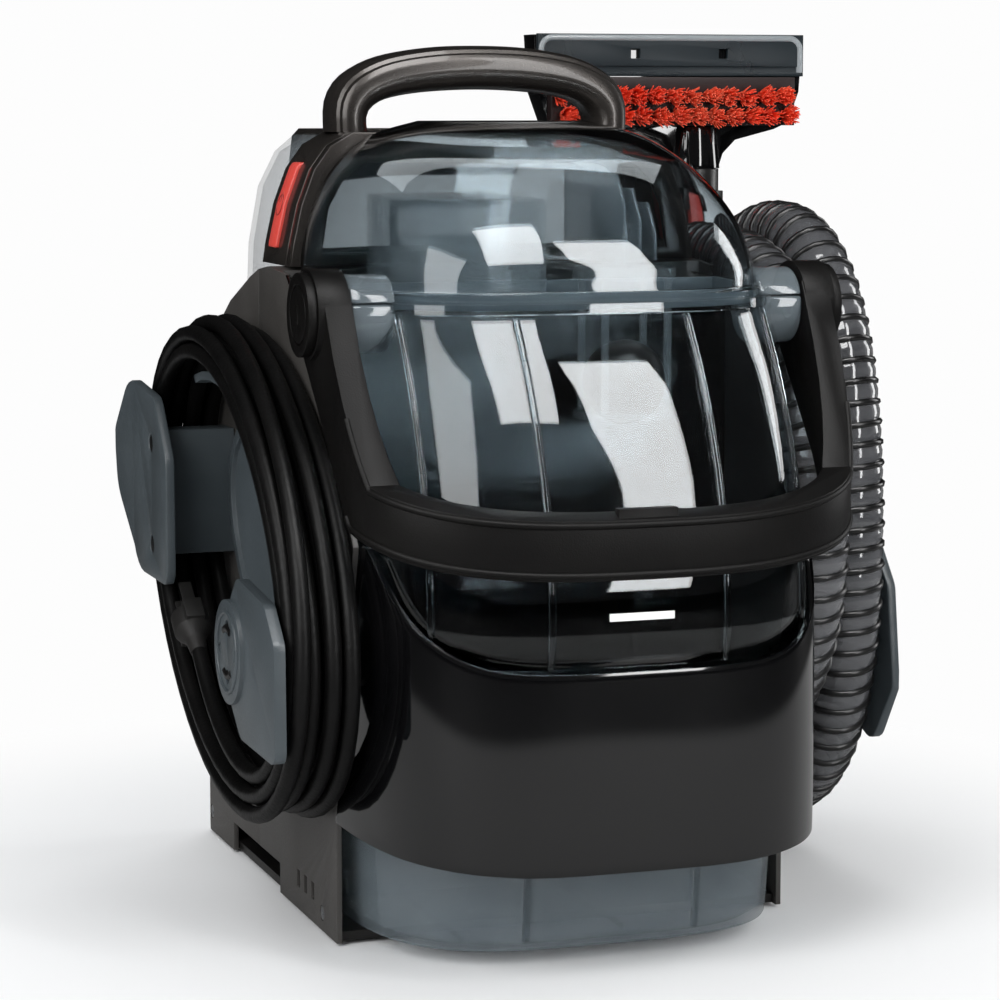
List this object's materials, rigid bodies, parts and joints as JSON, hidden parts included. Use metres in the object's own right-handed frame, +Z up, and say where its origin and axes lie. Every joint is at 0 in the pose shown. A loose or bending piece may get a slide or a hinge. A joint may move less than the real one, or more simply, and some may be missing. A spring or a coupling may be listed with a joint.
{
  "type": "portable carpet and upholstery spot extractor",
  "caption": "Portable spot extractor with a smoked front tank under a swinging bail, a rear clean-water tank, wound cord and ribbed hose with a hand tool.",
  "frame": {"origin": "middle of the four feet's ground plane, under the middle of the body", "axes": "+Z up, -Y towards the front tank, -X towards the cord side, +X towards the hose side"},
  "size_m": [0.3694, 0.361, 0.4025],
  "materials": {
    "shell": "satin",
    "cover": "gloss",
    "soft_black": "matte",
    "steel": "brushed",
    "charcoal": "metallic satin",
    "grip": "matte",
    "red": "satin",
    "black": "satin",
    "slate": "satin",
    "cord": "matte",
    "hose": "satin",
    "clear": "clear",
    "tuft": "satin",
    "smoke": "tinted clear",
    "white": "satin",
    "bail": "matte",
    "pale": "translucent",
    "copper": "satin",
    "alloy": "satin"
  },
  "bodies": {
    "chassis": {"base_pan": "shell", "rubber_feet": "soft_black", "front_housing": "shell", "rear_housing": "shell", "gloss_cover": "cover", "housing_screws": "steel", "arch_frame": "charcoal", "carry_handle": "charcoal", "handle_underside": "grip", "button_seats": "black", "cord_pod": "shell", "upper_cord_hook": "slate", "cord_hook_screws": "steel", "strain_relief": "soft_black", "power_cord": "cord", "power_plug": "soft_black", "hose_rack": "slate", "hose_lip": "slate", "tool_clip": "slate", "hose_port": "slate", "flex_hose": "hose", "hose_cuffs": "black", "grip_body": "black", "valve_socket": "black", "exhaust_grille": "black", "motor_housing": "black", "motor_windings": "copper", "spray_pump": "steel", "pump_tubes": "pale", "suction_duct": "black"},
    "vacuum_rotor": {"motor_shaft": "steel", "fan_impeller": "alloy"},
    "front_tank": {"tank_shell": "smoke", "bail_pivots": "smoke", "tank_level_bar": "white"},
    "tank_lid": {"lid_dome": "smoke", "lid_seal": "soft_black", "separator_box": "clear", "float_guide": "black"},
    "float": {"float_ball": "white"},
    "bail_arm": {"bail": "bail", "hub_caps": "bail"},
    "clean_tank": {"clean_tank_shell": "pale", "clean_tank_handle": "charcoal", "clean_tank_nipple": "black"},
    "power_switch": {"power_button": "red"},
    "spray_switch": {"spray_button": "red"},
    "release_hook": {"cord_release_hook": "slate"},
    "trigger": {"spray_trigger": "red"},
    "floor_tool": {"tool_body": "cover", "nozzle_window": "clear", "brush_block": "cover", "bristle_tufts": "tuft", "tool_latch": "red"}
  },
  "joints": [
    {"name": "rotor_spin", "type": "hinge", "parent": "chassis", "child": "vacuum_rotor", "pos_m": [-0.006, 0.046, 0.05], "axis": [0, 0, 1], "continuous": true},
    {"name": "tank_lift", "type": "slide", "parent": "chassis", "child": "front_tank", "axis": [0, 0, 1], "range_m": [0, 0.15]},
    {"name": "lid_lift", "type": "slide", "parent": "front_tank", "child": "tank_lid", "axis": [0, 0, 1], "range_m": [0, 0.09]},
    {"name": "float_rise", "type": "slide", "parent": "tank_lid", "child": "float", "axis": [0, 0, 1], "range_m": [0, 0.029]},
    {"name": "bail_swing", "type": "hinge", "parent": "front_tank", "child": "bail_arm", "pos_m": [0, -0.125, 0.278], "axis": [1, 0, 0], "range_deg": [-140, 0]},
    {"name": "clean_tank_draw", "type": "slide", "parent": "chassis", "child": "clean_tank", "axis": [0, 1, 0], "range_m": [0, 0.12]},
    {"name": "power_press", "type": "slide", "parent": "chassis", "child": "power_switch", "axis": [1, 0, 0], "range_m": [0, 0.0015], "stiffness_N_per_m": 400},
    {"name": "spray_press", "type": "slide", "parent": "chassis", "child": "spray_switch", "axis": [-1, 0, 0], "range_m": [0, 0.0015], "stiffness_N_per_m": 400},
    {"name": "hook_turn", "type": "hinge", "parent": "chassis", "child": "release_hook", "pos_m": [-0.13, -0.098, 0.13], "axis": [-1, 0, 0], "range_deg": [0, 180]},
    {"name": "trigger_pull", "type": "hinge", "parent": "chassis", "child": "trigger", "pos_m": [0.159, 0.105, 0.316], "axis": [1, 0, 0], "range_deg": [0, 8], "stiffness_Nm_per_rad": 0.4},
    {"name": "tool_lift", "type": "slide", "parent": "chassis", "child": "floor_tool", "axis": [0, 0, 1], "range_m": [0, 0.06]}
  ]
}
